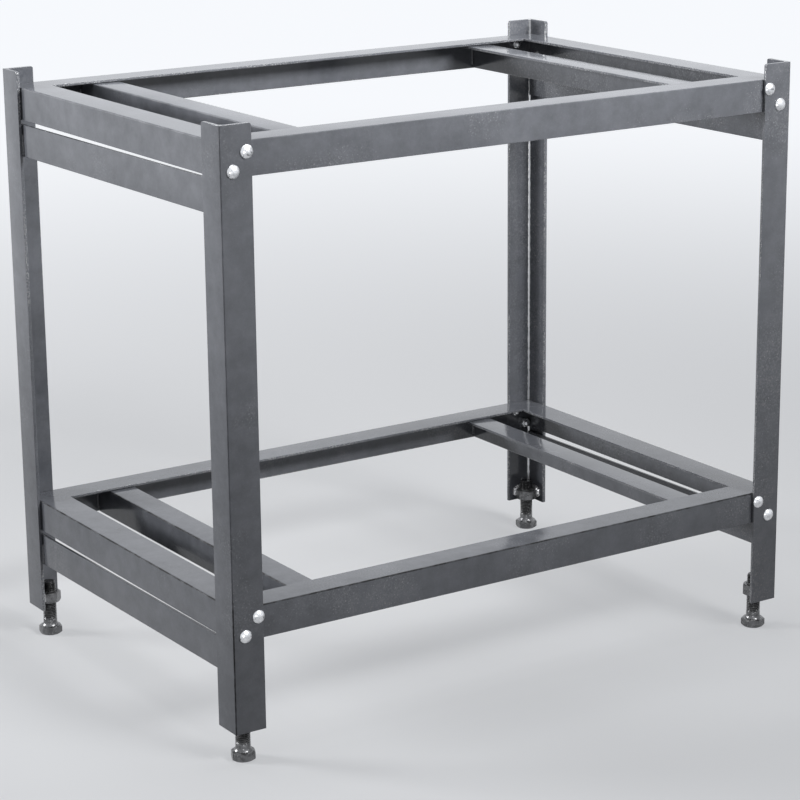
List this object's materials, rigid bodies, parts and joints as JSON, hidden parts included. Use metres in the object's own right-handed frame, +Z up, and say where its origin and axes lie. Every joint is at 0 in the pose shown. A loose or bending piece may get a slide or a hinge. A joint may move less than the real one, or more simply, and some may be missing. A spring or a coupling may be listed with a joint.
{
  "type": "surface plate stand",
  "caption": "Open rectangular stand of grey painted angle steel that holds a granite surface plate, with an upper and a lower frame bolted into corner legs on levelling bolts.",
  "frame": {"origin": "on the floor, under the middle of the stand", "axes": "+X along the stand's length, +Y from its front to its back, +Z up"},
  "size_m": [0.912, 0.6222, 0.834],
  "materials": {
    "grey_paint": "semi-gloss dark grey paint over hot-rolled steel",
    "bright_zinc": "bright zinc plate",
    "dark_steel": "dark oiled steel"
  },
  "bodies": {
    "stand": {"leg_front_left": "grey_paint", "leg_front_right": "grey_paint", "leg_back_right": "grey_paint", "leg_back_left": "grey_paint", "top_rail_front": "grey_paint", "top_rail_right": "grey_paint", "top_rail_back": "grey_paint", "top_rail_left": "grey_paint", "top_cross_left": "grey_paint", "top_cross_right": "grey_paint", "bottom_rail_front": "grey_paint", "bottom_rail_right": "grey_paint", "bottom_rail_back": "grey_paint", "bottom_rail_left": "grey_paint", "bottom_cross_left": "grey_paint", "bottom_cross_right": "grey_paint", "top_tie_bar_left": "grey_paint", "top_tie_bar_right": "grey_paint", "bottom_tie_bar_left": "grey_paint", "bottom_tie_bar_right": "grey_paint", "bolt_top_front_left_upper": "bright_zinc", "bolt_top_front_left_lower": "bright_zinc", "bolt_top_front_right_upper": "bright_zinc", "bolt_top_front_right_lower": "bright_zinc", "bolt_top_back_right_upper": "bright_zinc", "bolt_top_back_right_lower": "bright_zinc", "bolt_top_back_left_upper": "bright_zinc", "bolt_top_back_left_lower": "bright_zinc", "bolt_bottom_front_left_upper": "bright_zinc", "bolt_bottom_front_left_lower": "bright_zinc", "bolt_bottom_front_right_upper": "bright_zinc", "bolt_bottom_front_right_lower": "bright_zinc", "bolt_bottom_back_right_upper": "bright_zinc", "bolt_bottom_back_right_lower": "bright_zinc", "bolt_bottom_back_left_upper": "bright_zinc", "bolt_bottom_back_left_lower": "bright_zinc", "nut_top_front_left_upper": "bright_zinc", "nut_top_front_left_lower": "bright_zinc", "nut_top_front_right_upper": "bright_zinc", "nut_top_front_right_lower": "bright_zinc", "nut_top_back_right_upper": "bright_zinc", "nut_top_back_right_lower": "bright_zinc", "nut_top_back_left_upper": "bright_zinc", "nut_top_back_left_lower": "bright_zinc", "nut_bottom_front_left_upper": "bright_zinc", "nut_bottom_front_left_lower": "bright_zinc", "nut_bottom_front_right_upper": "bright_zinc", "nut_bottom_front_right_lower": "bright_zinc", "nut_bottom_back_right_upper": "bright_zinc", "nut_bottom_back_right_lower": "bright_zinc", "nut_bottom_back_left_upper": "bright_zinc", "nut_bottom_back_left_lower": "bright_zinc", "foot_nut_front_left": "dark_steel", "foot_nut_front_right": "dark_steel", "foot_nut_back_right": "dark_steel", "foot_nut_back_left": "dark_steel"},
    "foot_front_left": {"levelling_bolt_front_left": "dark_steel"},
    "foot_front_right": {"levelling_bolt_front_right": "dark_steel"},
    "foot_back_right": {"levelling_bolt_back_right": "dark_steel"},
    "foot_back_left": {"levelling_bolt_back_left": "dark_steel"}
  },
  "joints": [
    {"name": "foot_front_left_height", "type": "slide", "parent": "stand", "child": "foot_front_left", "axis": [0, 0, 1], "range_m": [-0.015, 0.031]},
    {"name": "foot_front_right_height", "type": "slide", "parent": "stand", "child": "foot_front_right", "axis": [0, 0, 1], "range_m": [-0.015, 0.031]},
    {"name": "foot_back_right_height", "type": "slide", "parent": "stand", "child": "foot_back_right", "axis": [0, 0, 1], "range_m": [-0.015, 0.031]},
    {"name": "foot_back_left_height", "type": "slide", "parent": "stand", "child": "foot_back_left", "axis": [0, 0, 1], "range_m": [-0.015, 0.031]}
  ]
}
